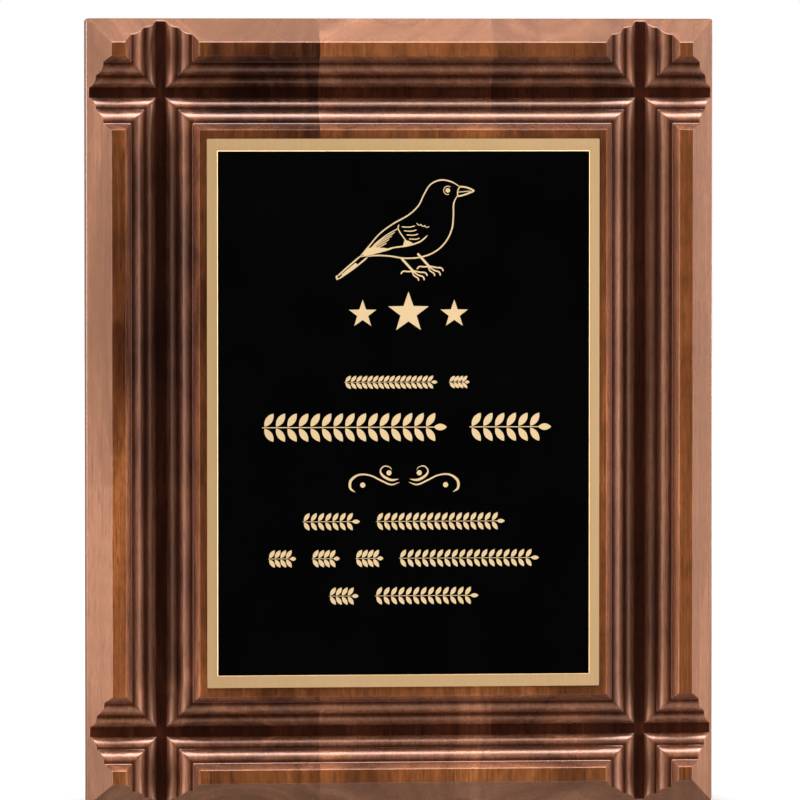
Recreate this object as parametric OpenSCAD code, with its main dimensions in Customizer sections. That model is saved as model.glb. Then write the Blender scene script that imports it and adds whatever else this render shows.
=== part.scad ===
// Award plaque: a walnut board of three edge-glued staves with a stepped moulding,
// a two-layer metal plate stuck on its front, and a keyhole hanger let into its back.
// X is across the board, Z is up, and the front faces -Y. The back lies in the plane
// y = 0, and the origin is the middle of the back. Sizes are in millimetres.

/* [Board] */
// Width of the board
board_w = 203.2; // [180:0.1:300]
// Height of the board
board_h = 254; // [230:0.1:380]
// Thickness of the board
board_t = 22.2; // [20:0.1:32]
// Radius of the board's four corners, seen from the front
corner_r = 1.2; // [0.5:0.1:4]
// Left glue joint, measured from the middle of the board
left_joint_x = -26.9; // [-40:0.1:-15]
// Right glue joint, measured from the middle of the board
right_joint_x = 29.2; // [15:0.1:40]

/* [Moulding] */
// Width of the bevel round the board, seen from the front
bevel_w = 7.7; // [4:0.1:9]
// Height of the bevel
bevel_d = 10; // [6:0.1:13]
// Distance from the board's edge to the middle of each groove
groove_inset = 23.95; // [23:0.05:30]
// Width of the straight riser under each rim of the groove
riser_w = 1.98; // [1:0.01:2.5]
// Depth of that riser
riser_d = 3.3; // [1:0.1:4]
// Width of the upper rounded step
upper_step_w = 4.35; // [3:0.05:5]
// Depth of the upper rounded step
upper_step_d = 2.9; // [1:0.1:3]
// Width of the lower rounded step
lower_step_w = 3.95; // [3:0.05:4.5]
// Depth of the lower rounded step
lower_step_d = 2.7; // [1:0.1:3]
// Width of the groove's flat floor
floor_w = 3.2; // [2:0.1:4]

/* [Metal plate] */
// Width of the gold backer plate
backer_w = 126.8; // [100:0.1:127]
// Height of the gold backer plate
backer_h = 176.6; // [140:0.1:178]
// Width of the black face plate
face_w = 120.4; // [80:0.1:122]
// Height of the black face plate
face_h = 169; // [120:0.1:172]
// Thickness of each metal plate
sheet_t = 0.5; // [0.4:0.05:1]
// Thickness of the adhesive sheets
tape_t = 0.15; // [0.1:0.05:0.3]
// How far the adhesive sheets stay inside the plates' edges
tape_margin = 3; // [1:0.5:10]

/* [Hanger] */
// Height of the hanger's middle above the board's middle
hanger_z = 66; // [40:1:66]
// Length of the hanger plate
hanger_h = 50; // [50:1:56]
// Width of the hanger plate
hanger_w = 16; // [16:0.5:20]
// Thickness of the hanger plate
hanger_t = 1.6; // [1.5:0.1:2]
// Diameter of the keyhole's round entry
entry_dia = 10; // [9:0.1:10]
// Width of the keyhole's slot
slot_w = 5; // [4.5:0.1:5]
// Distance from the entry's middle to the slot's end centre
slot_travel = 12; // [8:0.5:12]
// Distance between the two hanger screws
screw_pitch = 38; // [38:0.5:40]
// Shank diameter of the hanger screws
screw_dia = 3.5; // [3:0.1:3.6]
// Head diameter of the hanger screws
screw_head_dia = 6.7; // [6:0.1:6.8]
// Length of the hanger screws
screw_len = 12.7; // [10:0.1:14]

/* [Hidden] */
$fn = 96;
over = 1;
edge_t = board_t - bevel_d;
half_groove = riser_w + upper_step_w + lower_step_w + floor_w / 2;
recess_gap = 0.2;
pocket_gap = 0.5;
pocket_depth = 8;
keyhole_rise = 1;
entry_z = hanger_z - slot_travel / 2 + keyhole_rise;
slot_end_z = entry_z + slot_travel;
pocket_r = entry_dia / 2 + pocket_gap;
screw_tip_len = 3;
screw_tip_r = screw_dia / 8;
head_clearance = 0.05;
drive_w = 0.9;
drive_span = 3.6;
drive_depth = 1.1;
first_tape_y = -board_t;
backer_y = first_tape_y - tape_t;
second_tape_y = backer_y - sheet_t;
face_y = second_tape_y - tape_t;

// A sheet of the given size whose back lies at the given y, built towards the front.
module sheet(w, h, t, y) {
    translate([-w / 2, y - t, -h / 2]) cube([w, t, h]);
}

// A flat shape drawn in X and Z, made solid from y = back down to y = back - depth.
module slab(back, depth) {
    translate([0, back, 0]) rotate([90, 0, 0]) linear_extrude(depth) children();
}

// A rectangle with round corners, about the origin.
module round_rect(w, h, r) {
    square([w - 2 * r, h], center = true);
    square([w, h - 2 * r], center = true);
    for (sx = [-1, 1], sz = [-1, 1]) {
        translate([sx * (w / 2 - r), sz * (h / 2 - r)]) circle(r);
    }
}

// An upright slot with round ends, from the centre z_low to the centre z_high.
module upright_slot(r, z_low, z_high) {
    translate([0, z_low]) circle(r);
    translate([0, z_high]) circle(r);
    translate([-r, z_low]) square([2 * r, z_high - z_low]);
}

// The board's section across a pair of bevels: flat back, square edges, sloping bevels.
module bevel_section(span) {
    half = span / 2;
    polygon([[-half, 0], [-half, -edge_t], [-half + bevel_w, -board_t],
             [half - bevel_w, -board_t], [half, -edge_t], [half, 0]]);
}

// The space over one rounded step, which starts level at distance u and depth d from
// the groove's middle and the board's face, and falls by step_d over step_w.
module over_step(u, d, step_w, step_d) {
    r = (step_w * step_w + step_d * step_d) / (2 * step_d);
    difference() {
        square([u, d + step_d]);
        translate([u, d + r]) circle(r);
    }
}

// The groove's cross-section: distance from its middle along X, depth along Y.
module groove_section() {
    upper_u = half_groove - riser_w;
    lower_u = upper_u - upper_step_w;
    for (side = [0, 1]) mirror([side, 0]) {
        polygon([[0, -over], [half_groove, -over], [half_groove, 0],
                 [upper_u, riser_d], [0, riser_d]]);
        over_step(upper_u, riser_d, upper_step_w, upper_step_d);
        over_step(lower_u, riser_d + upper_step_d, lower_step_w, lower_step_d);
    }
}

// A cutter for one groove along Z, in the board's face at the given x.
module groove_along_z(x) {
    translate([x, -board_t, -board_h / 2 - over]) {
        linear_extrude(board_h + 2 * over) groove_section();
    }
}

// A cutter for one groove along X, in the board's face at the given z.
module groove_along_x(z) {
    translate([-board_w / 2 - over, -board_t, z]) rotate([90, 0, 90]) {
        linear_extrude(board_w + 2 * over) rotate(-90) mirror([1, 0]) groove_section();
    }
}

// The whole moulded board, which the staves are cut from.
module moulded_board() {
    groove_x = board_w / 2 - groove_inset;
    groove_z = board_h / 2 - groove_inset;
    difference() {
        intersection() {
            translate([0, 0, -board_h / 2]) linear_extrude(board_h) bevel_section(board_w);
            translate([-board_w / 2, 0, 0]) rotate([90, 0, 90]) {
                linear_extrude(board_w) rotate(-90) mirror([1, 0]) bevel_section(board_h);
            }
            slab(0, board_t) round_rect(board_w, board_h, corner_r);
        }
        for (side = [-1, 1]) {
            groove_along_z(side * groove_x);
            groove_along_x(side * groove_z);
        }
    }
}

// The part of the board between two upright planes.
module stave(x_low, x_high) {
    intersection() {
        moulded_board();
        translate([x_low, -board_t, -board_h / 2]) cube([x_high - x_low, board_t, board_h]);
    }
}

// What is routed and drilled in the back for the hanger, its wall screw and its screws.
module hanger_cut() {
    translate([0, 0, hanger_z]) slab(over, over + hanger_t) {
        round_rect(hanger_w + 2 * recess_gap, hanger_h + 2 * recess_gap, hanger_w / 2);
    }
    slab(-hanger_t + over, over + pocket_depth) {
        upright_slot(pocket_r, entry_z, slot_end_z);
    }
    at_screws() screw_shank();
}

// Places its children at the two screw centres, in the plane of the back.
module at_screws() {
    for (side = [-1, 1]) translate([0, 0, hanger_z + side * screw_pitch / 2]) children();
}

// A screw's shank and its pointed tip, which fill the pilot hole.
module screw_shank() {
    r = screw_dia / 2;
    rotate([90, 0, 0]) {
        translate([0, 0, hanger_t]) cylinder(r = r, h = screw_len - hanger_t - screw_tip_len);
        translate([0, 0, screw_len - screw_tip_len]) {
            cylinder(r1 = r, r2 = screw_tip_r, h = screw_tip_len);
        }
    }
}

// A countersunk head, flush with the back and as deep as the hanger plate.
module screw_head(grow = 0) {
    rotate([90, 0, 0]) {
        cylinder(r1 = screw_head_dia / 2 + grow, r2 = screw_dia / 2 + grow, h = hanger_t);
    }
}

module left_stave() {
    color("#6e452c") stave(-board_w / 2, left_joint_x);
}

module centre_stave() {
    color("#80543a") difference() {
        stave(left_joint_x, right_joint_x);
        hanger_cut();
    }
}

module right_stave() {
    color("#74492f") stave(right_joint_x, board_w / 2);
}

module backer_tape() {
    color("ivory") {
        sheet(backer_w - 2 * tape_margin, backer_h - 2 * tape_margin, tape_t, first_tape_y);
    }
}

module backer_plate() {
    color("#c8a56c") sheet(backer_w, backer_h, sheet_t, backer_y);
}

module face_tape() {
    color("ivory") {
        sheet(face_w - 2 * tape_margin, face_h - 2 * tape_margin, tape_t, second_tape_y);
    }
}

module face_plate() {
    color("#121110") sheet(face_w, face_h, sheet_t, face_y);
}

module keyhole_hanger() {
    color("silver") difference() {
        translate([0, 0, hanger_z]) slab(0, hanger_t) {
            round_rect(hanger_w, hanger_h, hanger_w / 2 - recess_gap);
        }
        translate([0, over, entry_z]) rotate([90, 0, 0]) {
            cylinder(d = entry_dia, h = hanger_t + 2 * over);
        }
        slab(over, hanger_t + 2 * over) upright_slot(slot_w / 2, entry_z, slot_end_z);
        at_screws() screw_head(head_clearance);
    }
}

module hanger_screws() {
    color("gainsboro") at_screws() difference() {
        union() {
            screw_head();
            screw_shank();
        }
        for (turn = [0, 90]) rotate([0, turn, 0]) {
            translate([-drive_span / 2, -drive_depth, -drive_w / 2]) {
                cube([drive_span, drive_depth + over, drive_w]);
            }
        }
    }
}

left_stave();
centre_stave();
right_stave();
backer_tape();
backer_plate();
face_tape();
face_plate();
keyhole_hanger();
hanger_screws();
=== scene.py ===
import math

import bmesh
import bpy
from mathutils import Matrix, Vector
from mathutils.geometry import delaunay_2d_cdt


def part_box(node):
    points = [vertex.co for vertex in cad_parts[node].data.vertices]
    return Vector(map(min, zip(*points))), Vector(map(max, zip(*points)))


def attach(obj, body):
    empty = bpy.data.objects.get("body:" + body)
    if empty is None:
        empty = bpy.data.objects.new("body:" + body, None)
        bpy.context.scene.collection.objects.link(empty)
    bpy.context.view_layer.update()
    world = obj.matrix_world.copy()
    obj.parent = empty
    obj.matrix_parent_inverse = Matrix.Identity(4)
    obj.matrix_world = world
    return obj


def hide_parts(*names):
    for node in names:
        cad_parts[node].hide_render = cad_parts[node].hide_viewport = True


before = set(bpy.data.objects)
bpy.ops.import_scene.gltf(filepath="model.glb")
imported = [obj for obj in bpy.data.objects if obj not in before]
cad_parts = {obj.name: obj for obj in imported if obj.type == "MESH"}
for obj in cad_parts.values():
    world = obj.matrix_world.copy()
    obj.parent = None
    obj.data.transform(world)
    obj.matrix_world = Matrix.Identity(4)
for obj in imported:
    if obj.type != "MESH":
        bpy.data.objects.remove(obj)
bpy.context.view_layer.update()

BODY = "root"
MM = 0.001

# ---- sizes, in millimetres
# The moulding, as the design has it.
BEVEL_W = 7.7
BEVEL_D = 10.0
GROOVE_INSET = 23.95
RISER_W = 1.98
RISER_D = 3.3
UPPER_STEP = (4.35, 2.9)
LOWER_STEP = (3.95, 2.7)
FLOOR_W = 3.2
CORNER_R = 1.2
HALF_GROOVE = RISER_W + UPPER_STEP[0] + LOWER_STEP[0] + FLOOR_W / 2
FLOOR_D = RISER_D + UPPER_STEP[1] + LOWER_STEP[1]

# How far the cutter's edges are sanded and filled with lacquer.
RIM_ROUND = 0.27
RIDGE_ROUND = 0.26
FOOT_ROUND = 0.3
MITRE_ROUND = 0.3
FRONT_EDGE_ROUND = 0.35
BACK_EDGE_ROUND = 0.6

# The hanger and what is cut for it.
HANGER_T = 1.6
HANGER_W = 16.0
HANGER_H = 50.0
RECESS_GAP = 0.2
ENTRY_R = 5.0
SLOT_R = 2.5
SLOT_TRAVEL = 12.0
POCKET_R = 5.5
POCKET_FLOOR = 9.6
SCREW_PITCH = 38.0
SCREW_R = 1.75
SCREW_HEAD_R = 3.35
SCREW_LEN = 12.7
SCREW_TIP = 3.0
SCREW_TIP_R = SCREW_R / 4
HEAD_CLEARANCE = 0.05
DRIVE_DEPTH = 1.1
KEYHOLE_RISE = 1.0

# The sheets' corners and chamfers, and the lacquer on the face plate.
SHEET_CORNER = 0.3
TAPE_CORNER = 1.5
TAPE_CHAMFER = 0.02
BACKER_CHAMFER = 0.01
COAT_T = 0.05
CHAMFER = 0.2

# Above this angle, in degrees, an edge between two faces is shaded as sharp.
WOOD_SMOOTH = 38
STEEL_SMOOTH = 20


def box_mm(node):
    """A node's lowest and highest corners in millimetres."""
    low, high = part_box(node)
    return Vector(low) / MM, Vector(high) / MM


LEFT_HIGH = box_mm("left_stave")[1]
RIGHT_LOW, RIGHT_HIGH = box_mm("right_stave")
HALF_W = RIGHT_HIGH.x
HALF_H = RIGHT_HIGH.z
FRONT_Y = RIGHT_LOW.y
HANGER_Z = sum(corner.z for corner in box_mm("keyhole_hanger")) / 2
ENTRY_Z = HANGER_Z - SLOT_TRAVEL / 2 + KEYHOLE_RISE
SLOT_END_Z = ENTRY_Z + SLOT_TRAVEL


# ---- small helpers
def soft_max(a, b, k):
    """The larger of two numbers, blended over a difference of k."""
    if k < 1e-9:
        return max(a, b)
    h = max(k - abs(a - b), 0.0) / k
    return max(a, b) + h * h * k / 4


def soft_min(a, b, k):
    """The smaller of two numbers, blended over a difference of k."""
    return -soft_max(-a, -b, k)


def show(thing):
    """Puts an object into the scene."""
    bpy.context.scene.collection.objects.link(thing)


def add_piece(name, bm, materials, replaces=(), smooth_angle=None):
    """Makes a mesh object out of bm, in metres, and ties it to the CAD frame."""
    mesh = bpy.data.meshes.new(name)
    bm.to_mesh(mesh)
    bm.free()
    if smooth_angle is not None:
        mesh.shade_smooth()
        mesh.set_sharp_from_angle(angle=math.radians(smooth_angle))
    for material in materials:
        mesh.materials.append(material)
    piece = bpy.data.objects.new(name, mesh)
    show(piece)
    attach(piece, BODY)
    if replaces:
        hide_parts(*replaces)
    return piece


def ring(bm, points, y):
    """A closed loop of vertices at one depth, from points (x, z) in millimetres."""
    return [bm.verts.new((x * MM, y * MM, z * MM)) for x, z in points]


def bridge(bm, first, second, material_index=0):
    """Quads between two loops of the same length."""
    count = len(first)
    for i in range(count):
        j = (i + 1) % count
        face = bm.faces.new((first[i], first[j], second[j], second[i]))
        face.material_index = material_index


def fill(bm, loops, material_index=0):
    """Fills the flat space between an outer loop and the loops inside it."""
    edges = []
    for loop in loops:
        for i, vert in enumerate(loop):
            after = loop[(i + 1) % len(loop)]
            edges.append(bm.edges.get((vert, after)) or bm.edges.new((vert, after)))
    made = bmesh.ops.triangle_fill(bm, use_beauty=True, edges=edges)
    for item in made["geom"]:
        if isinstance(item, bmesh.types.BMFace):
            item.material_index = material_index


def circle_points(x, z, r, count=48):
    """A circle about (x, z), anticlockwise."""
    turns = [2 * math.pi * i / count for i in range(count)]
    return [(x + r * math.cos(t), z + r * math.sin(t)) for t in turns]


def round_rect_points(w, h, r, z=0.0, per_corner=12):
    """A rectangle with round corners about (0, z), anticlockwise."""
    points = []
    for quarter, (sx, sz) in enumerate(((1, 1), (-1, 1), (-1, -1), (1, -1))):
        for i in range(per_corner + 1):
            t = math.pi / 2 * (quarter + i / per_corner)
            points.append((sx * (w / 2 - r) + r * math.cos(t),
                           z + sz * (h / 2 - r) + r * math.sin(t)))
    return points


def slot_points(r, z_low, z_high, count=24):
    """An upright slot with round ends, anticlockwise."""
    top = [(r * math.cos(math.pi * i / count), z_high + r * math.sin(math.pi * i / count))
           for i in range(count + 1)]
    low = [(-x, z_low + z_high - z) for x, z in top]
    return top + low


# ---- the moulded wood
def step_depth(u, start_u, start_d, step):
    """Depth of a rounded step: level at start_u, then an arc, then the arc's tangent."""
    w, d = step
    r = (w * w + d * d) / (2 * d)
    t = start_u - u
    if t <= 0:
        return start_d
    if t <= w:
        return start_d + r - math.sqrt(r * r - t * t)
    return start_d + d + (t - w) * w / math.sqrt(r * r - w * w)


def groove_depth(u):
    """Depth of the groove at a distance u from its middle."""
    u = abs(u)
    upper_u = HALF_GROOVE - RISER_W
    lower_u = upper_u - UPPER_STEP[0]
    depth = (HALF_GROOVE - u) * RISER_D / RISER_W
    depth = soft_min(depth, step_depth(u, upper_u, RISER_D, UPPER_STEP), FOOT_ROUND)
    lower = step_depth(u, lower_u, RISER_D + UPPER_STEP[1], LOWER_STEP)
    depth = soft_min(depth, lower, FOOT_ROUND)
    depth = soft_min(depth, FLOOR_D, FOOT_ROUND)
    return soft_max(depth, 0.0, RIM_ROUND)


def bevel_depth(inset):
    """Depth of the bevel at a distance inset from the board's edge."""
    depth = soft_max(BEVEL_D * (1 - inset / BEVEL_W), 0.0, RIDGE_ROUND)
    drop = max(1 - inset / FRONT_EDGE_ROUND, 0.0)
    return depth + FRONT_EDGE_ROUND * drop * drop


def meet(a, b, rounding=MITRE_ROUND):
    """The deeper of two cuts, with the ridge between them a little rounded."""
    return soft_max(a, b, min(rounding, max(a, b) / 2))


def cut_depth(x, z):
    """Depth of the board's front below its face at a place on the board."""
    inset_x = HALF_W - abs(x)
    inset_z = HALF_H - abs(z)
    bevels = meet(bevel_depth(inset_x), bevel_depth(inset_z), 0.05)
    grooves = meet(groove_depth(inset_x - GROOVE_INSET), groove_depth(inset_z - GROOVE_INSET))
    return meet(bevels, grooves)


def inset_samples():
    """Distances from an edge at which the surface is sampled. The bevel's samples have the
    depths of the groove's, so that every mitre runs through grid points."""
    steps = 42
    groove = [0.0, 0.8, 1.3] + [
        FLOOR_W / 2 + (HALF_GROOVE - FLOOR_W / 2 + 0.35) * i / steps for i in range(steps + 1)]
    bevel = [BEVEL_W * (1 - groove_depth(u) / BEVEL_D) for u in groove]
    edge = [0.0, 0.1, 0.2, 0.35, 0.6]
    rim = [BEVEL_W - 0.15, BEVEL_W + 0.1, BEVEL_W + 0.25]
    land = [BEVEL_W + (GROOVE_INSET - HALF_GROOVE - BEVEL_W) * i / 6 for i in range(1, 6)]
    both_sides = [GROOVE_INSET - u for u in groove] + [GROOVE_INSET + u for u in groove]
    return edge + bevel + rim + land + both_sides


def axis_samples(half, extra=()):
    """Grid lines across the board along one axis, with any extra places kept exactly."""
    insets = inset_samples()
    flat = half - GROOVE_INSET - HALF_GROOVE
    count = max(4, round(flat / 6))
    middle = [flat * i / count for i in range(-count + 1, count)]
    places = sorted([half - s for s in insets] + [s - half for s in insets] + middle)
    kept = list(extra) + [-half, half]
    for place in places:
        if all(abs(place - other) > 0.04 for other in kept[-3:] + list(extra) + [-half, half]):
            kept.append(place)
    return sorted(kept)


def rounded_corner(x, z):
    """Moves a grid point near a corner so that the outline's corner is an arc."""
    a = (abs(x) - HALF_W + CORNER_R) / CORNER_R
    b = (abs(z) - HALF_H + CORNER_R) / CORNER_R
    if a <= 0 or b <= 0:
        return x, z
    arc_a = a * math.sqrt(1 - b * b / 2)
    arc_b = b * math.sqrt(1 - a * a / 2)
    return (math.copysign(HALF_W - CORNER_R + arc_a * CORNER_R, x),
            math.copysign(HALF_H - CORNER_R + arc_b * CORNER_R, z))


def outward(x, z):
    """The outline's outward normal at one of its points."""
    over_x = abs(x) - HALF_W + CORNER_R
    over_z = abs(z) - HALF_H + CORNER_R
    if over_x > 0 and over_z > 0:
        normal = Vector((math.copysign(over_x, x), math.copysign(over_z, z)))
        return normal.normalized()
    if over_z >= CORNER_R - 1e-6:
        return Vector((0, math.copysign(1, z)))
    return Vector((math.copysign(1, x), 0))


GLUE_X = (LEFT_HIGH.x, RIGHT_LOW.x)
GRID_X = axis_samples(HALF_W, GLUE_X)
GRID_Z = axis_samples(HALF_H)


def wall_levels():
    """(inset, y) of the wall's rings below the front edge: straight, then a round arris
    and a narrow flat strip, which keeps the arris's shading off the back."""
    levels = [(0.0, -(RIGHT_HIGH.y - FRONT_Y - BEVEL_D) * 0.5)]
    for step in range(5):
        a = math.pi / 2 * step / 4
        levels.append((BACK_EDGE_ROUND * (1 - math.cos(a)), -BACK_EDGE_ROUND * (1 - math.sin(a))))
    return levels + [(BACK_EDGE_ROUND + 0.4, 0.0)]


def between(value, stops):
    """Reads a value off straight lines between (position, height) stops."""
    for (p0, h0), (p1, h1) in zip(stops, stops[1:]):
        if value <= p1:
            return h0 + (h1 - h0) * (value - p0) / (p1 - p0)
    return stops[-1][1]


# Darkening by depth in a groove, mostly painted shade: on the riser and in the corner at the
# foot of each drop, and on the floor, where some real dark glaze lies too. The rims and the
# two rounded steps stay clear.
GLAZE_AND_SHADE = ((0.0, 0.0), (0.15, 0.0), (0.7, 0.25), (2.4, 0.5), (3.1, 0.9), (3.36, 0.8), (3.55, 0.05),
         (4.4, 0.0), (5.4, 0.45), (5.9, 0.9), (6.24, 0.85), (6.42, 0.05), (7.2, 0.05), (8.2, 0.3),
         (8.6, 0.65), (8.85, 0.9))

# Depth over which the face's painted shade gives way to the bevel's painted sheen.
SHARE_DEPTH = 0.3


def finish_and_painted_light_shares(x, z):
    """How much groove darkening, painted shade with some glaze, lies at a place, and how far it is
    on the face, which is painted with shade, and on the bevel, which is painted with sheen.
    """
    inset_x, inset_z = HALF_W - abs(x), HALF_H - abs(z)
    groove = max(groove_depth(inset_x - GROOVE_INSET), groove_depth(inset_z - GROOVE_INSET))
    bevel = max(bevel_depth(inset_x), bevel_depth(inset_z))
    glaze_and_shade = 0.0 if bevel > groove else between(groove, GLAZE_AND_SHADE)
    on_face = max(0.0, 1 - max(groove, bevel) / SHARE_DEPTH)
    on_bevel = min(1.0, max(0.0, (bevel - groove) / SHARE_DEPTH))
    return glaze_and_shade, on_face, on_bevel


def stave_front(bm, columns):
    """The moulded front of one stave. Returns its grid of vertices by column."""
    # The first layer holds the groove's painted shade and glaze, the other two where the face's
    # painted shade and the bevel's painted sheen go.
    glaze_and_shade = bm.verts.layers.float.new("glaze_and_shade")
    face = bm.verts.layers.float.new("face")
    bevel = bm.verts.layers.float.new("bevel")
    grid = []
    for x in columns:
        column = []
        for z in GRID_Z:
            px, pz = rounded_corner(x, z)
            y = FRONT_Y + cut_depth(px, pz)
            vert = bm.verts.new((px * MM, y * MM, pz * MM))
            vert[glaze_and_shade], vert[face], vert[bevel] = finish_and_painted_light_shares(px, pz)
            column.append(vert)
        grid.append(column)
    for i in range(len(columns) - 1):
        for j in range(len(GRID_Z) - 1):
            a, b = grid[i][j], grid[i + 1][j]
            d, c = grid[i][j + 1], grid[i + 1][j + 1]
            sag = (a.co.y + c.co.y) - (b.co.y + d.co.y)
            if abs(sag) < 1e-7:
                bm.faces.new((a, b, c, d))
            elif sag < 0:
                bm.faces.new((a, b, c))
                bm.faces.new((a, c, d))
            else:
                bm.faces.new((a, b, d))
                bm.faces.new((b, c, d))
    return grid


def stave_walls(bm, path):
    """The wall behind an open path of front vertices. Returns the rings, front to back."""
    bevel = bm.verts.layers.float["bevel"]
    rings = [path]
    for inset, y in wall_levels():
        row = []
        for vert in path:
            x, z = vert.co.x / MM, vert.co.z / MM
            n = outward(x, z)
            row.append(bm.verts.new(((x - n.x * inset) * MM, y * MM, (z - n.y * inset) * MM)))
            # The wall takes the bevel's painted sheen.
            row[-1][bevel] = 1.0
        for i in range(len(path) - 1):
            bm.faces.new((rings[-1][i], rings[-1][i + 1], row[i + 1], row[i]))
        rings.append(row)
    return rings


def hanger_cut(bm, back):
    """The recess, pocket and pilot holes behind the hanger, within the back's outline."""
    recess = round_rect_points(HANGER_W + 2 * RECESS_GAP, HANGER_H + 2 * RECESS_GAP,
                               HANGER_W / 2, HANGER_Z)
    pocket = slot_points(POCKET_R, ENTRY_Z, SLOT_END_Z)
    mouth = ring(bm, recess, 0.0)
    fill(bm, [back, mouth], 1)
    shelf = ring(bm, recess, -HANGER_T)
    bridge(bm, mouth, shelf, 1)
    pocket_top = ring(bm, pocket, -HANGER_T)
    pilots = []
    for side in (-1, 1):
        z = HANGER_Z + side * SCREW_PITCH / 2
        top = ring(bm, circle_points(0, z, SCREW_R, 24), -HANGER_T)
        shank = ring(bm, circle_points(0, z, SCREW_R, 24), -(SCREW_LEN - SCREW_TIP))
        tip = ring(bm, circle_points(0, z, SCREW_TIP_R, 24), -SCREW_LEN)
        bridge(bm, top, shank, 1)
        bridge(bm, shank, tip, 1)
        bm.faces.new(tip).material_index = 1
        pilots.append(top)
    fill(bm, [shelf, pocket_top] + pilots, 1)
    pocket_floor = ring(bm, pocket, -POCKET_FLOOR)
    bridge(bm, pocket_top, pocket_floor, 1)
    bm.faces.new(pocket_floor).material_index = 1


def make_stave(name, materials):
    """One glued stave as a closed solid: front, walls, glue faces and back."""
    low, high = box_mm(name)
    columns = [x for x in GRID_X if low.x - 1e-4 <= x <= high.x + 1e-4]
    bm = bmesh.new()
    grid = stave_front(bm, columns)
    left_is_edge = abs(columns[0] + HALF_W) < 1e-4
    right_is_edge = abs(columns[-1] - HALF_W) < 1e-4
    bottom = [column[0] for column in grid]
    top = [column[-1] for column in grid]
    if left_is_edge:
        path = top[::-1] + grid[0][-2:0:-1] + bottom
        paths = [stave_walls(bm, path)]
        glue = [(grid[-1], paths[0], paths[0])]
    elif right_is_edge:
        path = bottom + grid[-1][1:-1] + top[::-1]
        paths = [stave_walls(bm, path)]
        glue = [(grid[0][::-1], paths[0], paths[0])]
    else:
        paths = [stave_walls(bm, bottom), stave_walls(bm, top[::-1])]
        glue = [(grid[-1], paths[0], paths[1]), (grid[0][::-1], paths[1], paths[0])]
    for front, before, after in glue:
        down = [row[0] for row in after[1:]]
        up = [row[-1] for row in before[:0:-1]]
        bm.faces.new(up + list(front) + down)
    back = [vert for rows in paths for vert in rows[-1]]
    if left_is_edge or right_is_edge:
        bm.faces.new(back).material_index = 1
    else:
        hanger_cut(bm, back)
    bmesh.ops.recalc_face_normals(bm, faces=bm.faces)
    return add_piece(name + "_wood", bm, materials, (name,), WOOD_SMOOTH)


# ---- the engraving
def curve_through(points, per_span=8):
    """A smooth curve through points, which may carry extra numbers such as a width."""
    out = []
    last = len(points) - 1
    for i in range(last):
        p0, p1 = points[max(i - 1, 0)], points[i]
        p2, p3 = points[i + 1], points[min(i + 2, last)]
        for s in range(per_span):
            t = s / per_span
            out.append(tuple(
                0.5 * (2 * b + (c - a) * t + (2 * a - 5 * b + 4 * c - d) * t * t
                       + (3 * b - a - 3 * c + d) * t ** 3)
                for a, b, c, d in zip(p0, p1, p2, p3)))
    out.append(tuple(points[-1]))
    return out


def stroke(points, width=0.5, taper=(0.45, 0.45), per_span=8):
    """The outline of a drawn line. A point is (x, z), or (x, z, width) where it varies."""
    full = [(p[0], p[1], p[2] if len(p) > 2 else width) for p in points]
    line = curve_through(full, per_span) if len(full) > 2 else full
    count = len(line) - 1
    left, right = [], []
    for i, (x, z, w) in enumerate(line):
        ahead, behind = line[min(i + 1, count)], line[max(i - 1, 0)]
        along = Vector((ahead[0] - behind[0], ahead[1] - behind[1])).normalized()
        thin = min(1.0, taper[0] + i / count * 6, taper[1] + (count - i) / count * 6)
        half = w * thin / 2
        left.append((x - along.y * half, z + along.x * half))
        right.append((x + along.y * half, z - along.x * half))
    return right + left[::-1]


def star_points(x, z, r, inner=0.4):
    """A five-pointed star about (x, z), with one point up."""
    points = []
    for i in range(10):
        reach = r if i % 2 == 0 else r * inner
        t = math.pi / 2 + math.pi * i / 5
        points.append((x + reach * math.cos(t), z + reach * math.sin(t)))
    return points


def leaf_points(x, z, angle, length, width, count=8):
    """A leaf with two pointed ends that grows from (x, z) at an angle."""
    c, d = math.cos(angle), math.sin(angle)
    upper = [(length * i / count, width / 2 * math.sin(math.pi * i / count) ** 0.8)
             for i in range(count)]
    lower = [(length - u, -v) for u, v in upper]
    return [(x + u * c - v * d, z + u * d + v * c) for u, v in upper + lower]


def sprig(low_x, high_x, z, half_h, lean):
    """A straight laurel sprig along X: a stem with pairs of leaves and one at its tip."""
    pairs = max(1, round((high_x - low_x) / (half_h * 0.95)))
    pitch = (high_x - low_x) / (pairs + 1)
    reach = min(half_h / math.sin(lean), pitch * 1.9)
    shapes = [stroke([(low_x, z), (high_x - pitch, z)], half_h * 0.16)]
    for i in range(pairs):
        x = low_x + pitch * (i + 0.2)
        shapes.append(leaf_points(x, z + half_h * 0.06, lean, reach, reach * 0.44))
        shapes.append(leaf_points(x, z - half_h * 0.06, -lean, reach, reach * 0.44))
    shapes.append(leaf_points(high_x - pitch * 1.15, z, 0.0, pitch * 1.15, reach * 0.42))
    return shapes


def sprig_row(x, low_z, width, height, groups, lean=math.radians(56)):
    """A row of sprigs about x that stands where a line of words would be."""
    gap = 1.1
    pitch = width / (sum(groups) + gap * (len(groups) - 1))
    start = x - width / 2
    shapes = []
    for size in groups:
        shapes += sprig(start, start + size * pitch, low_z + height / 2, height / 2, lean)
        start += (size + gap) * pitch
    return shapes


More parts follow.
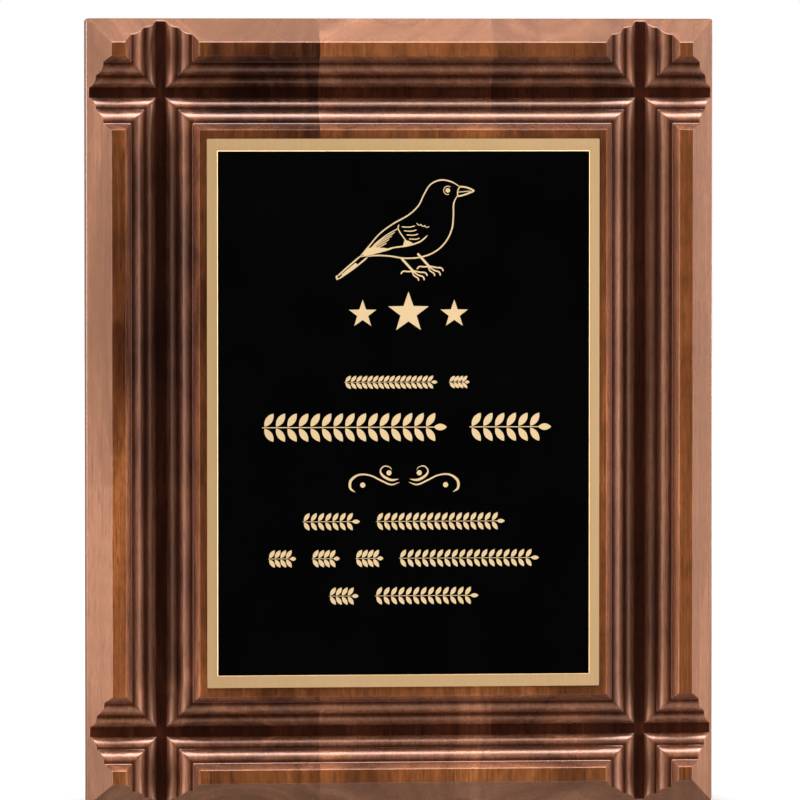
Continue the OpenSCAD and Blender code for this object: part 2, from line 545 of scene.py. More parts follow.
def songbird():
    """A plain songbird in profile, drawn in outline, about its own middle."""
    back = stroke([(17.6, 14.0), (14.6, 15.7), (11.2, 16.2), (8.0, 14.8), (5.9, 11.6), (4.1, 8.0),
                   (0.9, 5.0), (-4.2, 2.1), (-8.6, -1.2), (-12.2, -5.4), (-15.0, -8.6)], 0.47)
    breast = stroke([(16.7, 11.2), (15.5, 8.6), (15.4, 4.6), (14.9, 0.4), (12.8, -3.8), (9.2, -7.0),
                     (4.6, -8.6), (-0.4, -8.9), (-5.2, -8.2), (-9.6, -8.0), (-12.6, -8.4)], 0.5)
    upper_bill = stroke([(17.4, 14.1), (19.4, 13.9), (21.3, 13.2), (22.2, 12.6, 0.5)], 0.55)
    lower_bill = stroke([(16.7, 11.0), (18.4, 11.3), (20.4, 12.0), (22.2, 12.7, 0.5)], 0.55)
    gape = stroke([(16.9, 12.3), (18.8, 12.5), (21.0, 12.7)], 0.3)
    bill_root = stroke([(17.5, 14.0), (16.8, 12.8), (16.8, 11.0)], 0.4)
    tail_top = stroke([(-14.6, -8.2), (-18.4, -11.4), (-22.0, -14.6)], 0.55)
    tail_low = stroke([(-12.4, -8.6), (-16.6, -12.0), (-21.8, -15.6)], 0.55)
    tail_end = stroke([(-22.15, -14.4), (-22.3, -15.1), (-21.95, -15.8)], 0.65)
    tail_bar = [(-20.8, -14.1), (-16.2, -10.3), (-15.5, -11.0), (-20.3, -14.7)]
    shapes = [back, breast, upper_bill, lower_bill, gape, bill_root, tail_top, tail_low, tail_end,
              tail_bar, circle_points(13.6, 12.9, 0.75, 20)]
    eye_ring = [(13.6 + 1.35 * math.cos(t), 12.9 + 1.35 * math.sin(t))
                for t in [math.radians(50 + 30 * i) for i in range(9)]]
    shapes.append(stroke(eye_ring, 0.28, per_span=3))
    return shapes + bird_wing() + bird_leg(0.0, 0.0) + bird_leg(5.2, 1.5)


def bird_wing():
    """The folded wing: its edge, long flight feathers, covert tips and one solid bar."""
    lower_edge = stroke([(7.0, -1.6), (4.6, -3.6), (0.6, -4.9), (-4.4, -5.6), (-10.4, -7.4),
                         (-14.6, -8.4)], 0.5)
    shapes = [lower_edge]
    for i in range(5):
        start = (-2.6 - 0.9 * i, 0.6 - 1.15 * i)
        middle = (-6.6 - 0.5 * i, -1.7 - 0.9 * i)
        end = (-10.4 - 0.55 * i, -4.7 - 0.55 * i)
        shapes.append(stroke([start, middle, end], 0.36))
    for i in range(4):
        shapes.append(stroke([(-1.4 + 0.8 * i, 1.2 - 1.3 * i), (1.2 + 0.7 * i, 1.1 - 1.3 * i),
                              (3.0 + 0.5 * i, 1.5 - 1.3 * i)], 0.36))
    for i in range(3):
        x, z = 4.3 + 1.2 * i, 1.9 - 0.35 * i
        shapes.append(stroke([(x - 0.8, z + 0.5), (x, z - 0.2), (x + 0.9, z + 0.1)], 0.3))
    shapes.append(stroke([(-2.2, 1.9), (-2.4, 0.4), (-0.6, -2.4), (1.2, -4.6)], 0.42))
    shapes.append([(-14.4, -8.0), (-12.2, -5.6), (-10.2, -5.3), (-6.8, -5.6), (-4.4, -6.0),
                   (-8.6, -7.2)])
    shapes.append([(-0.4, -3.2), (0.9, -3.3), (2.4, -4.1), (1.2, -4.9), (-1.0, -5.1)])
    return shapes


def bird_leg(dx, dz):
    """One shank with three forward toes and one behind, moved by (dx, dz)."""
    def at(points):
        return [(p[0] + dx, p[1] + dz) + tuple(p[2:]) for p in points]
    shank = stroke(at([(-1.4, -8.9), (0.5, -11.0), (2.4, -13.1)]), 0.75, (0.9, 0.9))
    front = stroke(at([(2.2, -12.9), (4.6, -13.4), (6.3, -13.6), (7.0, -14.6)]), 0.5)
    middle = stroke(at([(2.2, -13.0), (4.0, -14.3), (5.6, -14.9), (6.0, -16.0)]), 0.5)
    inner = stroke(at([(2.0, -12.9), (2.6, -14.4), (3.9, -15.3), (4.2, -16.2)]), 0.45)
    hind = stroke(at([(2.4, -13.0), (0.8, -13.2), (-0.8, -13.1), (-1.6, -14.0)]), 0.5)
    return [shank, front, middle, inner, hind]


def flourish():
    """A pair of mirrored scrolls, each with a smaller scroll over it and two beads."""
    long_scroll = [(1.5, -1.0, 0.3), (4.2, -1.8, 0.5), (7.4, -0.5, 0.55), (11.0, 1.2, 0.5),
                   (14.6, 1.4, 0.6), (17.2, -0.4, 0.85), (17.4, -2.9, 0.75), (15.8, -4.2, 0.3)]
    short_scroll = [(1.8, 0.0, 0.3), (4.2, -0.3, 0.75), (6.7, 0.9, 0.8), (7.7, 2.6, 0.5),
                    (6.6, 4.1, 0.4), (4.8, 3.9, 0.3), (4.0, 2.9, 0.2)]
    shapes = []
    for side in (-1, 1):
        for scroll in (long_scroll, short_scroll):
            shapes.append(stroke([(side * x, z, w) for x, z, w in scroll]))
        shapes.append(circle_points(side * 4.9, 2.0, 0.85, 20))
        shapes.append(circle_points(side * 13.4, -1.9, 0.85, 20))
    return shapes


def moved(shapes, dx, dz):
    """The same outlines, moved by (dx, dz)."""
    return [[(x + dx, z + dz) for x, z in shape] for shape in shapes]


def engraving():
    """Every engraved outline, in millimetres from the plate's middle."""
    shapes = moved(songbird(), 0.6, 58.8)
    shapes.append(star_points(1.5, 32.3, 6.9))
    for side in (-1, 1):
        shapes.append(star_points(1.5 + side * 14.8, 31.9, 4.7))
    shapes += sprig_row(1.0, 8.0, 40.5, 4.0, (9, 2), math.radians(48))
    shapes += sprig_row(1.0, -8.8, 93.5, 8.6, (9, 4))
    shapes += moved(flourish(), 0.1, -21.2)
    shapes += sprig_row(0.0, -37.5, 65.5, 5.3, (4, 9))
    shapes += sprig_row(0.0, -49.4, 87.7, 5.3, (2, 2, 2, 10))
    shapes += sprig_row(0.0, -61.5, 48.4, 5.3, (2, 7))
    return shapes


def anticlockwise(shape):
    """An outline with its points in anticlockwise order."""
    area = sum(x1 * z2 - x2 * z1 for (x1, z1), (x2, z2) in zip(shape, shape[1:] + shape[:1]))
    return shape if area > 0 else shape[::-1]


def make_coat(material):
    """The black lacquer film, with the engraving cut right through it."""
    low, high = box_mm("face_plate")
    w, h = high.x - low.x - 2 * CHAMFER, high.z - low.z - 2 * CHAMFER
    outline = round_rect_points(w, h, SHEET_CORNER, 0.0, 3)
    shapes = [outline] + [anticlockwise(shape) for shape in engraving()]
    points, faces = [], []
    for shape in shapes:
        faces.append(list(range(len(points), len(points) + len(shape))))
        points += [Vector(p) for p in shape]
    verts, _, tris, _, _, origins = delaunay_2d_cdt(points, [], faces, 1, 1e-4, True)
    kept = [tri for tri, origin in zip(tris, origins) if list(origin) == [0]]
    bm = bmesh.new()
    front = [bm.verts.new((v.x * MM, low.y * MM, v.y * MM)) for v in verts]
    rear = [bm.verts.new((v.x * MM, (low.y + COAT_T) * MM, v.y * MM)) for v in verts]
    border = {}
    for tri in kept:
        bm.faces.new([front[i] for i in tri])
        bm.faces.new([rear[i] for i in reversed(tri)])
        for i, a in enumerate(tri):
            b = tri[(i + 1) % len(tri)]
            border[(a, b)] = border.get((a, b), 0) + 1
    for a, b in border:
        if (b, a) not in border:
            bm.faces.new((front[b], front[a], rear[a], rear[b]))
    loose = [v for v in bm.verts if not v.link_faces]
    bmesh.ops.delete(bm, geom=loose, context="VERTS")
    bmesh.ops.recalc_face_normals(bm, faces=bm.faces)
    return add_piece("face_plate_lacquer", bm, [material], ("face_plate",))


def sheet_solid(low, high, corner, chamfer, front_y=None):
    """A thin upright sheet with a chamfer round its front, as a closed solid."""
    front_y = low.y if front_y is None else front_y
    w, h = high.x - low.x, high.z - low.z
    outline = round_rect_points(w, h, corner, 0.0, 4)
    inner = round_rect_points(w - 2 * chamfer, h - 2 * chamfer, max(corner - chamfer, 0.05), 0.0, 4)
    bm = bmesh.new()
    rear = ring(bm, outline, high.y)
    side = ring(bm, outline, front_y + chamfer)
    front = ring(bm, inner, front_y)
    bridge(bm, rear, side)
    bridge(bm, side, front)
    bm.faces.new(rear)
    bm.faces.new(front)
    bmesh.ops.recalc_face_normals(bm, faces=bm.faces)
    return bm


def make_plates(materials):
    """The adhesive sheets, the gold backer, and the face plate's brass and lacquer."""
    for name in ("backer_tape", "face_tape"):
        low, high = box_mm(name)
        bm = sheet_solid(low, high, TAPE_CORNER, TAPE_CHAMFER)
        add_piece(name + "_sheet", bm, [materials["adhesive"]], (name,))
    low, high = box_mm("backer_plate")
    bm = sheet_solid(low, high, SHEET_CORNER, BACKER_CHAMFER)
    add_piece("backer_plate_sheet", bm, [materials["gold_plate"]],
              ("backer_plate",))
    low, high = box_mm("face_plate")
    bm = sheet_solid(low, high, SHEET_CORNER, CHAMFER, low.y + COAT_T)
    add_piece("face_plate_brass", bm, [materials["engraved_brass"]],
              ("face_plate",))
    make_coat(materials["black_lacquer"])


# ---- the hanger
def make_hanger(material):
    """The pressed keyhole plate, with rounded edges and two countersinks."""
    edge = 0.25
    levels = [(0.0, -HANGER_T), (0.0, -edge), (edge * 0.3, -edge * 0.3), (edge, 0.0)]
    bm = bmesh.new()

    def stack(shape_at):
        """Loops at each level of a shape, given as a function of how far it has moved in."""
        loops = [ring(bm, shape_at(inset), y) for inset, y in levels]
        for first, second in zip(loops, loops[1:]):
            bridge(bm, first, second)
        return loops[0], loops[-1]

    outer = stack(lambda s: round_rect_points(HANGER_W - 2 * s, HANGER_H - 2 * s,
                                              HANGER_W / 2 - RECESS_GAP - s, HANGER_Z))
    hole = stack(keyhole_points)
    screw_holes = []
    for side in (-1, 1):
        z = HANGER_Z + side * SCREW_PITCH / 2
        rear = ring(bm, circle_points(0, z, SCREW_R + HEAD_CLEARANCE), -HANGER_T)
        front = ring(bm, circle_points(0, z, SCREW_HEAD_R + HEAD_CLEARANCE), 0.0)
        bridge(bm, rear, front)
        screw_holes.append((rear, front))
    fill(bm, [outer[0], hole[0]] + [pair[0] for pair in screw_holes])
    fill(bm, [outer[1], hole[1]] + [pair[1] for pair in screw_holes])
    bmesh.ops.recalc_face_normals(bm, faces=bm.faces)
    add_piece("keyhole_hanger_plate", bm, [material], ("keyhole_hanger",),
              STEEL_SMOOTH)


def keyhole_points(grow):
    """The keyhole's outline, anticlockwise: a round entry with a slot above it."""
    entry_r, slot_r = ENTRY_R + grow, SLOT_R + grow
    corner = math.acos(slot_r / entry_r)
    steps = 40
    points = []
    for i in range(steps + 1):
        t = math.pi - corner + (math.pi + 2 * corner) * i / steps
        points.append((entry_r * math.cos(t), ENTRY_Z + entry_r * math.sin(t)))
    for i in range(17):
        t = math.pi * i / 16
        points.append((slot_r * math.cos(t), SLOT_END_Z + slot_r * math.sin(t)))
    return points


def make_screws(material):
    """Two countersunk screws with a tapered cross recess and a plain shank."""
    bm = bmesh.new()
    for side in (-1, 1):
        z = HANGER_Z + side * SCREW_PITCH / 2
        add_screw(bm, z, math.radians(20 + 55 * side))
    bmesh.ops.recalc_face_normals(bm, faces=bm.faces)
    add_piece("hanger_screws_steel", bm, [material], ("hanger_screws",),
              STEEL_SMOOTH)


def cross_points(z, turn, arm, half_w, core):
    """The outline of a cross drive: four arms and the four inner corners between them."""
    points = []
    for quarter in range(4):
        t = turn + quarter * math.pi / 2
        c, s = math.cos(t), math.sin(t)
        for u, v in ((arm, -half_w), (arm, half_w), (core, core)):
            points.append((u * c - v * s, z + u * s + v * c))
    return points


def add_screw(bm, z, turn):
    """One screw about the Y axis at the height z, its drive turned by turn."""
    steps = 48
    rim = 0.12
    levels = [(SCREW_TIP_R, -SCREW_LEN), (SCREW_R, -(SCREW_LEN - SCREW_TIP)), (SCREW_R, -HANGER_T),
              (SCREW_HEAD_R - rim, -rim * 1.2), (SCREW_HEAD_R, -rim * 0.8),
              (SCREW_HEAD_R - rim * 0.4, -rim * 0.15), (SCREW_HEAD_R - rim * 2, 0.0)]
    loops = [ring(bm, circle_points(0, z, r, steps), y) for r, y in levels]
    for first, second in zip(loops, loops[1:]):
        bridge(bm, first, second)
    bm.faces.new(loops[0])
    mouth = ring(bm, cross_points(z, turn, 1.8, 0.45, 0.75), 0.0)
    seat = ring(bm, cross_points(z, turn, 1.0, 0.3, 0.5), -DRIVE_DEPTH)
    fill(bm, [loops[-1], mouth])
    bridge(bm, mouth, seat)
    bm.faces.new(seat)


# ---- materials
# Distance between growth rings, in millimetres, and the tone of the lightest wood.
RING_PITCH = 4.6
LIGHTEST_TONE = 0.74
# Added to a place in metres, so that a colour ramp can read it.
HALF_METRE = 0.5
# What the face, bevel and glaze multiply the wood's colour by, and the tone that the
# bevel is drawn towards. The face's tint is painted shade that also warms its hue, the
# bevel's tone and tint are a painted sheen, lighter and pinker, and the glaze's tint is
# painted shade in the grooves, with some real glaze on their floors.
FACE_SHADE_TINT = (0.91, 0.755, 0.47)
BEVEL_SHEEN_TONE = (0.20, 0.082, 0.042)
BEVEL_SHEEN_TINT = (0.73, 0.845, 1.0)
GLAZE_AND_SHADE_TINT = (0.18, 0.062, 0.038)


class Nodes:
    """A short way to write a node tree."""

    def __init__(self, name):
        self.material = bpy.data.materials.new(name)
        self.material.use_nodes = True
        self.tree = self.material.node_tree
        self.tree.nodes.clear()
        self.output = self.add("ShaderNodeOutputMaterial")
        self.shader = self.add("ShaderNodeBsdfPrincipled")
        self.link(self.shader.outputs["BSDF"], self.output.inputs["Surface"])
        self.place = self.add("ShaderNodeTexCoord").outputs["Object"]

    def add(self, kind, **values):
        made = self.tree.nodes.new(kind)
        for key, value in values.items():
            setattr(made, key, value)
        return made

    def link(self, source, target):
        self.tree.links.new(source, target)

    def put(self, node, socket, value):
        """Sets an input to a number or a colour, or links an output to it."""
        if isinstance(value, bpy.types.NodeSocket):
            self.link(value, node.inputs[socket])
        else:
            node.inputs[socket].default_value = value

    def stretched(self, scale, offset=(0, 0, 0), source=None):
        """The object's coordinates in metres, scaled and moved."""
        mapping = self.add("ShaderNodeMapping")
        self.put(mapping, "Vector", source or self.place)
        self.put(mapping, "Scale", scale)
        self.put(mapping, "Location", offset)
        return mapping.outputs["Vector"]

    def noise(self, vector, detail=2.0, rough=0.5, distortion=0.0):
        made = self.add("ShaderNodeTexNoise")
        self.put(made, "Vector", vector)
        self.put(made, "Scale", 1.0)
        self.put(made, "Detail", detail)
        self.put(made, "Roughness", rough)
        self.put(made, "Distortion", distortion)
        return made.outputs["Fac"]

    def attribute(self, name):
        """A number stored on the mesh's vertices."""
        return self.add("ShaderNodeAttribute", attribute_name=name).outputs["Fac"]

    def math(self, operation, a, b=0.0, clamp=False):
        made = self.add("ShaderNodeMath", operation=operation, use_clamp=clamp)
        self.put(made, 0, a)
        self.put(made, 1, b)
        return made.outputs["Value"]

    def plus(self, a, b):
        return self.math("ADD", a, b)

    def times(self, a, b):
        return self.math("MULTIPLY", a, b)

    def ramp(self, source, stops):
        """A colour ramp from (position, colour) pairs."""
        made = self.add("ShaderNodeValToRGB")
        self.link(source, made.inputs["Fac"])
        elements = made.color_ramp.elements
        elements[0].position, elements[0].color = stops[0][0], rgba(stops[0][1])
        elements[1].position, elements[1].color = stops[-1][0], rgba(stops[-1][1])
        for position, colour in stops[1:-1]:
            element = elements.new(position)
            element.color = rgba(colour)
        return made.outputs["Color"]

    def mix(self, factor, a, b, blend="MIX"):
        made = self.add("ShaderNodeMix", data_type="RGBA", blend_type=blend)
        self.put(made, "Factor", factor)
        self.put(made, 6, a if isinstance(a, bpy.types.NodeSocket) else rgba(a))
        self.put(made, 7, b if isinstance(b, bpy.types.NodeSocket) else rgba(b))
        return made.outputs[2]

    def bump(self, height, strength, distance):
        made = self.add("ShaderNodeBump")
        self.put(made, "Height", height)
        self.put(made, "Strength", strength)
        self.put(made, "Distance", distance)
        return made.outputs["Normal"]


def rgba(colour):
    """A colour, or a grey level, as four numbers."""
    if isinstance(colour, (int, float)):
        return (colour, colour, colour, 1.0)
    return (*colour[:3], 1.0)


def growth_rings(n, place, pith, seed):
    """Rings round an upright pith line, which faces, bevels and grooves cut differently:
    their broad bands, and the late wood in each."""
    wander = n.noise(n.stretched((7, 7, 4.5), (seed, 3.1, 0.7)), 2.0, 0.5)
    ripple = n.noise(n.stretched((60, 60, 22), (1.7, seed, 5.2)), 2.0, 0.5)
    shift = n.plus(n.times(wander, 0.075), n.times(ripple, 0.004))
    across = n.math("SUBTRACT", n.plus(place["X"], shift), pith[0] * MM)
    deep = n.math("SUBTRACT", n.plus(place["Y"], shift), pith[1] * MM)
    radius = n.math("SQRT", n.plus(n.times(across, across), n.times(deep, deep)))
    bands = n.noise(n.stretched((125, 0, 0), (seed * 3.0, 0, 0), vector_of(n, radius)), 4.0, 0.62)
    turns = n.plus(n.times(radius, 1 / (RING_PITCH * MM)), n.times(bands, 3.0))
    late = n.ramp(n.math("FRACT", turns),
                  [(0.0, 0.2), (0.2, 0.0), (0.6, 0.25), (0.9, 1.0), (1.0, 0.2)])
    return bands, late


def upper_left_heart(n, place):
    """Where the dark heartwood is: high up, beside the left glue joint."""
    by_joint = n.ramp(n.plus(place["X"], HALF_METRE), [(0.43, 0.0), (0.455, 1.0)])
    by_top = n.ramp(n.plus(place["Z"], HALF_METRE),
                    [(0.57, 0.0), (0.6, 1.0), (0.616, 1.0), (0.622, 0.2)])
    return n.times(by_joint, by_top)


def wood_tone(n, place, rings, streak, seed, drift, heart):
    """How dark the wood is, as a number that grows with darkness."""
    bands, late = rings
    patch = n.noise(n.stretched((17, 17, 7.5), (0, seed, 2.0)), 2.0, 0.5)
    tone = n.plus(n.times(bands, 1.15), n.plus(n.times(streak, 0.35), n.times(patch, 0.85)))
    tone = n.plus(tone, n.times(late, 0.08))
    tone = n.plus(tone, n.times(place["Z"], drift))
    return n.plus(tone, n.times(upper_left_heart(n, place), heart))


def with_blotches(n, place, colour, bevel, seed, mottled):
    """Dark blotches, which fade towards the foot and nearly vanish on the bevel."""
    mottle = n.noise(n.stretched((95, 95, 36), (seed, 4.4, seed)), 3.0, 0.6)
    amount = n.math("SUBTRACT", mottled, n.times(bevel, mottled * 0.85))
    low_down = n.ramp(n.plus(place["Z"], HALF_METRE), [(0.4, 0.2), (0.52, 1.0)])
    amount = n.times(amount, low_down)
    shade = n.ramp(mottle, [(0.38, (0.38, 0.30, 0.33)), (0.56, 1.0)])
    return n.mix(amount, colour, shade, "MULTIPLY")


def with_grain(n, colour, dark, late, seed):
    """Veins, cross figure, fibres, specks and open pores, from coarse to fine."""
    vein = n.noise(n.stretched((24, 24, 5), (2.2, seed, 6.1)), 2.0, 0.5, 0.4)
    vein = n.ramp(vein, [(0.475, 0.0), (0.5, 1.0), (0.525, 0.0)])
    colour = n.mix(n.times(vein, 0.5), colour, dark)
    figure = n.noise(n.stretched((34, 34, 110), (seed, seed, 0)), 2.0, 0.5)
    colour = n.mix(0.4, colour, n.ramp(figure, [(0.35, 0.66), (0.65, 1.0)]), "MULTIPLY")
    fibre = n.noise(n.stretched((1500, 1500, 26), (seed, 0, 0)), 3.0, 0.65)
    colour = n.mix(0.65, colour, n.ramp(fibre, [(0.3, 0.5), (0.62, 1.05)]), "MULTIPLY")
    speck = n.noise(n.stretched((1100, 1100, 330), (3.3, seed, 0)), 2.0, 0.6)
    colour = n.mix(0.6, colour, n.ramp(speck, [(0.35, 0.62), (0.62, 1.08)]), "MULTIPLY")
    pore = n.noise(n.stretched((2300, 2300, 90), (0, seed, 0)), 1.0, 0.4)
    open_pore = n.ramp(pore, [(0.64, 0.0), (0.72, 1.0)])
    pores = n.math("MULTIPLY", open_pore, n.math("SUBTRACT", 1.0, late), True)
    in_pore = tuple(c * 0.3 for c in dark)
    colour = n.mix(n.times(pores, 0.65), colour, in_pore)
    relief = n.math("SUBTRACT", n.times(fibre, 0.4), pores)
    return colour, relief


def with_stain_and_painted_light(n, colour, bevel):
    """Painted shade on the face, which also warms its hue, painted sheen on the bevel, and the
    grooves' painted shade and glaze.
    """
    face = n.attribute("face")
    colour = n.mix(face, colour, n.mix(1.0, colour, FACE_SHADE_TINT, "MULTIPLY"))
    colour = n.mix(n.times(bevel, 0.35), colour, BEVEL_SHEEN_TONE)
    colour = n.mix(bevel, colour, n.mix(1.0, colour, BEVEL_SHEEN_TINT, "MULTIPLY"))
    return n.mix(n.attribute("glaze_and_shade"), colour, n.mix(1.0, colour, GLAZE_AND_SHADE_TINT, "MULTIPLY"))


def walnut(name, pith, seed, tones, drift, mottled, heart, finished=True):
    """Walnut. tones are dark, middle, light, drift is how much darker the stave's top is
    than its foot, mottled how strong its blotches are, and heart how much darker it is
    still high up beside the left glue joint. Finished wood is glossy, the rest is bare."""
    n = Nodes(name)
    dark, middle, light = tones
    split = n.add("ShaderNodeSeparateXYZ")
    n.link(n.place, split.inputs[0])
    place = split.outputs
    bevel = n.attribute("bevel")
    rings = growth_rings(n, place, pith, seed)
    streak = n.noise(n.stretched((230, 230, 4), (seed, 0, 0)), 3.0, 0.6)
    tone = wood_tone(n, place, rings, streak, seed, drift, heart)
    colour = n.ramp(n.math("SUBTRACT", tone, LIGHTEST_TONE, True),
                    [(0.16, light), (0.42, middle), (0.85, dark)])
    colour = with_blotches(n, place, colour, bevel, seed, mottled)
    colour, relief = with_grain(n, colour, dark, rings[1], seed)
    n.put(n.shader, "Base Color", with_stain_and_painted_light(n, colour, bevel))
    if finished:
        n.put(n.shader, "Roughness", n.ramp(streak, [(0.3, 0.23), (0.7, 0.3)]))
        n.put(n.shader, "Normal", n.bump(relief, 0.14, 0.00006))
        n.put(n.shader, "Specular IOR Level", 0.45)
        n.put(n.shader, "Specular Tint", (1.0, 0.63, 0.52, 1.0))
    else:
        n.put(n.shader, "Roughness", n.ramp(streak, [(0.3, 0.66), (0.7, 0.78)]))
        n.put(n.shader, "Normal", n.bump(relief, 0.5, 0.0001))
    return n.material


def vector_of(n, value):
    """A vector with one number as its X."""
    made = n.add("ShaderNodeCombineXYZ")
    n.link(value, made.inputs["X"])
    return made.outputs["Vector"]


def brushed_metal(name, colours, brush_scale, rough, bump):
    """Metal in a dark and a light tone, brushed or grained as brush_scale says."""
    n = Nodes(name)
    lines = n.noise(n.stretched(brush_scale), 3.0, 0.7)
    cloud = n.noise(n.stretched((22, 22, 7)), 2.0)
    colour = n.mix(n.plus(n.times(lines, 0.6), n.times(cloud, 0.4)),
                   colours[0], colours[1])
    n.put(n.shader, "Base Color", colour)
    n.put(n.shader, "Roughness", n.ramp(lines, [(0.3, rough[0]), (0.7, rough[1])]))
    n.put(n.shader, "Normal", n.bump(lines, bump, 0.00004))
    n.put(n.shader, "Metallic", 1.0)
    return n.material


def black_lacquer():
    """Glossy black lacquer with a faint orange peel."""
    n = Nodes("black_lacquer")
    cloud = n.noise(n.stretched((40, 40, 40)), 2.0)
    n.put(n.shader, "Base Color", n.ramp(cloud, [(0.3, (0.0004, 0.0004, 0.0005)),
                                                 (0.7, (0.0007, 0.0007, 0.0007))]))
    peel = n.noise(n.stretched((900, 900, 900)), 2.0)
    n.put(n.shader, "Roughness", n.ramp(peel, [(0.3, 0.12), (0.7, 0.16)]))
    n.put(n.shader, "Normal", n.bump(peel, 0.05, 0.00003))
    n.put(n.shader, "IOR", 1.25)
    return n.material


def adhesive():
    """The pale adhesive sheets, which only their edges could show."""
    n = Nodes("adhesive")
    grain = n.noise(n.stretched((700, 700, 700)), 3.0)
    n.put(n.shader, "Base Color", n.ramp(grain, [(0.3, (0.74, 0.7, 0.58)),
                                                 (0.7, (0.86, 0.83, 0.74))]))
    n.put(n.shader, "Roughness", n.ramp(grain, [(0.3, 0.55), (0.7, 0.7)]))
    return n.material


def make_materials():
    """Every material by name: the staves' fronts and backs, the metals and the rest."""
    # For each stave: the pith's (x, y) in millimetres, seed, drift, mottled, heart, tones.
    staves = {
        "left": ((-18.0, 42.0), 3.7, 0.5, 0.8, 0.12,
                 ((0.028, 0.0095, 0.0060), (0.112, 0.0410, 0.0190), (0.235, 0.0920, 0.0455))),
        "centre": ((6.0, 60.0), 8.2, -0.35, 0.4, 0.0,
                   ((0.050, 0.0180, 0.0108), (0.185, 0.071, 0.0345), (0.36, 0.148, 0.076))),
        "right": ((84.0, 30.0), 14.9, 0.5, 0.25, 0.0,
                  ((0.040, 0.0145, 0.0092), (0.170, 0.065, 0.0315), (0.33, 0.134, 0.069))),
    }
    made = {
        "gold_plate": brushed_metal("gold_plate", ((0.52, 0.322, 0.142), (0.75, 0.508, 0.275)),
                                    (5200, 5200, 14), (0.3, 0.42), 0.35),
        "engraved_brass": brushed_metal("engraved_brass", ((0.74, 0.52, 0.27), (0.9, 0.68, 0.4)),
                                        (3000, 3000, 3000), (0.42, 0.52), 0.2),
        "black_lacquer": black_lacquer(),
        "adhesive": adhesive(),
        "hanger_steel": brushed_metal("hanger_steel", ((0.5, 0.5, 0.51), (0.7, 0.7, 0.71)),
                                      (900, 900, 60), (0.26, 0.4), 0.12),
        "screw_steel": brushed_metal("screw_steel", ((0.52, 0.5, 0.45), (0.72, 0.71, 0.68)),
                                     (260, 260, 260), (0.24, 0.34), 0.02),
    }
    for side, (pith, seed, drift, mottled, heart, tones) in staves.items():
        look = (pith, seed, tones, drift, mottled, heart)
        made["walnut_" + side] = walnut("walnut_" + side, *look)
        made["back_" + side] = walnut("back_" + side, *look, False)
    return made


# ---- stage, light and camera
# Strength of the white world to the camera, and on the object.
BACKDROP = 1.0
AMBIENT = 0.02


def make_stage():
    """A plain pale floor under the plaque's lower edge."""
    bm = bmesh.new()
    bmesh.ops.create_grid(bm, x_segments=8, y_segments=8, size=4.0)
    mesh = bpy.data.meshes.new("floor")
    bm.to_mesh(mesh)
    bm.free()
    n = Nodes("floor_paper")
    cloud = n.noise(n.stretched((3, 3, 3)), 2.0)
    n.put(n.shader, "Base Color", n.ramp(cloud, [(0.3, 0.8), (0.7, 0.83)]))
    n.put(n.shader, "Roughness", n.ramp(cloud, [(0.3, 0.85), (0.7, 0.9)]))
    n.put(n.shader, "Specular IOR Level", 0.1)
    mesh.materials.append(n.material)
    floor = bpy.data.objects.new("floor", mesh)
    floor.location.z = -HALF_H * MM
    show(floor)
    floor.visible_glossy = False
    floor.visible_diffuse = False
    floor.visible_shadow = False
    return floor


def add_light(name, kind, place, target, watts, only=()):
    """A light the camera doesn't see. Where only is given, it lights nothing else."""
    data = bpy.data.lights.new(name, kind)
    data.energy = watts
    lamp = bpy.data.objects.new(name, data)
    lamp.location = place
    lamp.rotation_euler = (Vector(target) - Vector(place)).to_track_quat("-Z", "Y").to_euler()
    lamp.visible_camera = False
    show(lamp)
    if only:
        group = bpy.data.collections.new(name + "_group")
        for thing in only:
            group.objects.link(thing)
        lamp.light_linking.receiver_collection = group
    return lamp


def soft_box(name, place, target, size, watts, only, gloss=True, matt=True):
    """An area light, which may be left out of the reflections or of the matt shading."""
    lamp = add_light(name, "AREA", place, target, watts, only)
    lamp.data.shape = "RECTANGLE"
    lamp.data.size, lamp.data.size_y = size
    lamp.visible_glossy = gloss
    lamp.visible_diffuse = matt


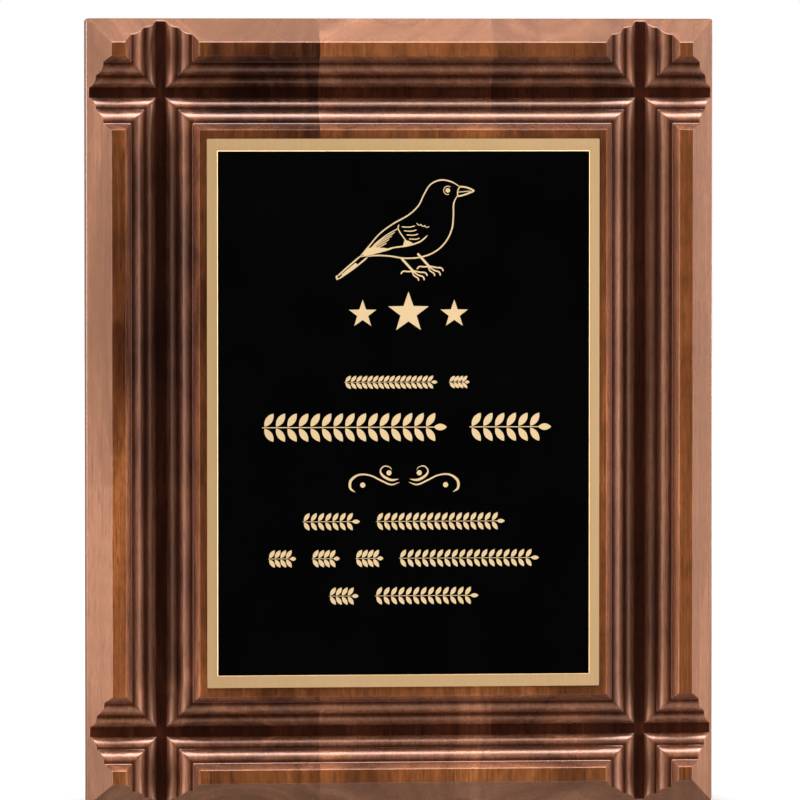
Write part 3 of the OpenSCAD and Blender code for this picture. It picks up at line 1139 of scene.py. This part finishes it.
def make_lights(floor, metal, rest):
    """Soft boxes beside, above and below the plaque, nearly in its own plane, panels that
    only the gloss mirrors, and dimmer strips further forward. They leave out the floor,
    which has a light of its own; the metal sheets also mirror two panels in front, and
    two boxes behind light the back."""
    middle = (0, -0.02, 0)
    soft_box("left_box", (-1.1, -0.24, 0.05), middle, (0.42, 1.5), 51.0, rest, gloss=False)
    soft_box("right_box", (1.1, -0.2, 0.05), middle, (0.42, 1.5), 53.5, rest, gloss=False)
    soft_box("top_box", (0, -0.2, 1.2), middle, (1.0, 0.36), 56.5, rest, gloss=False)
    soft_box("bottom_box", (0, -0.2, -1.1), middle, (1.0, 0.36), 6.8, rest, gloss=False)
    for side in (-1, 1):
        soft_box("side_gloss", (side * 1.1, -0.3, 0.05), middle, (0.45, 1.6), 13.5, rest + metal,
                 matt=False)
        soft_box("side_strip", (side * 1.1, -0.8, 0.05), middle, (0.35, 1.5), 3.5, rest + metal)
    soft_box("top_gloss", (0, -0.36, 1.1), middle, (1.2, 0.5), 62.0, rest, matt=False)
    soft_box("bottom_gloss", (0, -0.3, -1.1), middle, (1.2, 0.6), 4.0, rest + metal,
             matt=False)
    soft_box("metal_top", (0, -0.3, 1.1), middle, (1.2, 0.6), 10.0, metal)
    soft_box("metal_foot", (0, -0.3, -1.1), middle, (1.2, 0.6), 10.0, metal)
    soft_box("top_strip", (0, -0.8, 1.1), middle, (1.0, 0.35), 7.0, rest + metal)
    soft_box("bottom_strip", (0, -0.8, -1.1), middle, (1.0, 0.35), 2.0, rest + metal)
    soft_box("metal_panel", (0.2, -0.7, -0.03), (0.2, 0, -0.03), (0.8, 0.8), 1.4, metal)
    soft_box("metal_strip", (0.28, -0.7, -0.03), (0.28, 0, -0.03), (0.16, 0.9), 1.8, metal)
    for side in (-1, 1):
        soft_box("back_box", (side * 1.6, 1.6, 0.6), (0, 0, 0), (1.0, 1.6), 30.0, rest)
    sun = add_light("floor_sun", "SUN", (0, 0, 3), (0, 0, 0), 4.5, [floor])
    sun.data.angle = math.radians(30)


def make_world():
    """White where the camera sees it, and a dim ambient light everywhere else."""
    world = bpy.data.worlds.new("studio")
    world.use_nodes = True
    bpy.context.scene.world = world
    tree = world.node_tree
    tree.nodes.clear()
    output = tree.nodes.new("ShaderNodeOutputWorld")
    mix = tree.nodes.new("ShaderNodeMixShader")
    path = tree.nodes.new("ShaderNodeLightPath")
    tree.links.new(path.outputs["Is Camera Ray"], mix.inputs[0])
    for socket, strength in ((1, AMBIENT), (2, BACKDROP)):
        background = tree.nodes.new("ShaderNodeBackground")
        background.inputs["Color"].default_value = (1, 1, 1, 1)
        background.inputs["Strength"].default_value = strength
        tree.links.new(background.outputs[0], mix.inputs[socket])
    tree.links.new(mix.outputs[0], output.inputs["Surface"])


def make_camera():
    """A long lens a little above and to the left, looking at the plaque's middle."""
    distance = 2.5
    lens = 349.8
    edge_plane = (FRONT_Y + BEVEL_D) * MM
    place = Vector((-0.2349, edge_plane - distance, 0.1057))
    target = Vector((-0.0002, edge_plane, 0.0038))
    data = bpy.data.cameras.new("camera")
    data.lens = lens
    data.sensor_width = 36.0
    data.clip_start, data.clip_end = 0.05, 50.0
    camera = bpy.data.objects.new("camera", data)
    camera.location = place
    camera.rotation_euler = (target - place).to_track_quat("-Z", "Y").to_euler()
    show(camera)
    bpy.context.scene.camera = camera


def build():
    """Makes every piece, then the stage, the lights and the camera."""
    materials = make_materials()
    for side in ("left", "centre", "right"):
        make_stave(side + "_stave",
                   [materials["walnut_" + side], materials["back_" + side]])
    make_plates(materials)
    make_hanger(materials["hanger_steel"])
    make_screws(materials["screw_steel"])
    pieces = [thing for thing in bpy.context.scene.objects if thing.type == "MESH"]
    metal = [thing for thing in pieces if thing.name in ("backer_plate_sheet", "face_plate_brass")]
    make_lights(make_stage(), metal, [thing for thing in pieces if thing not in metal])
    make_world()
    make_camera()
    view = bpy.context.scene.view_settings
    view.view_transform = "Standard"
    view.look = "None"


build()
